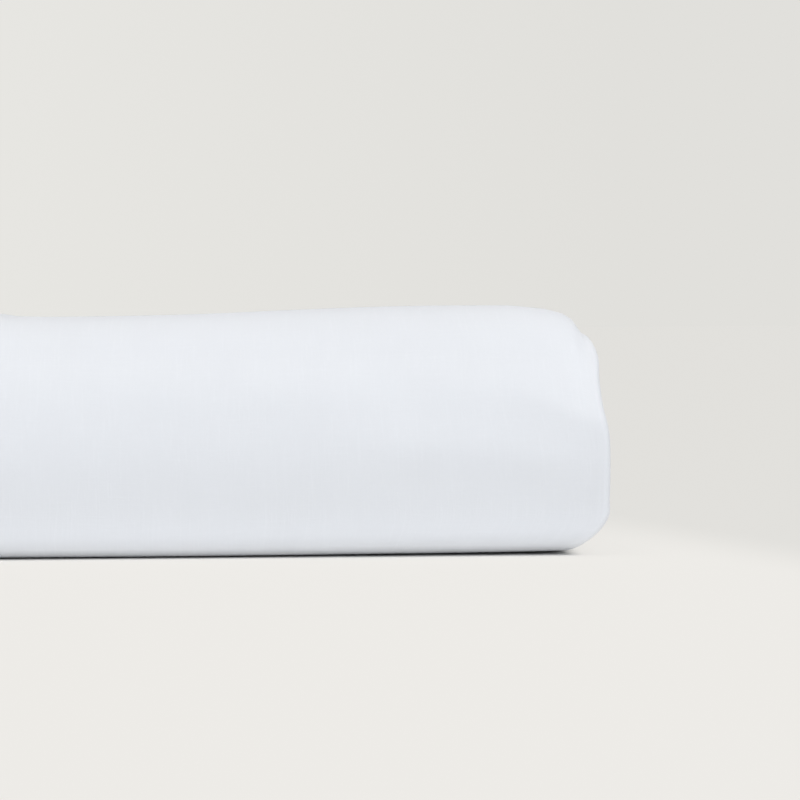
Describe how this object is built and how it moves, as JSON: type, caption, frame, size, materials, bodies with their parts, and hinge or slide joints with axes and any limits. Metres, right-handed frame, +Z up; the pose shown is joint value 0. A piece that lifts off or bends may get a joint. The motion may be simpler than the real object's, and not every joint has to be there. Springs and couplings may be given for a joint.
{
  "type": "folded flat sheet",
  "caption": "Flat bed sheet folded into a soft rectangular bundle, with one rounded spine across the front and closed folds at the right end.",
  "frame": {"origin": "centre of the resting face, at the middle of the bundle's bounding box", "axes": "+X along the spine of the last fold towards the closed end, -Y out of the spine, +Z up"},
  "size_m": [0.3298, 0.312, 0.0617],
  "materials": {
    "sheet_fabric": "matt plain weave with a fine slub, cool white"
  },
  "bodies": {
    "root": {"sheet": "sheet_fabric"}
  },
  "joints": []
}
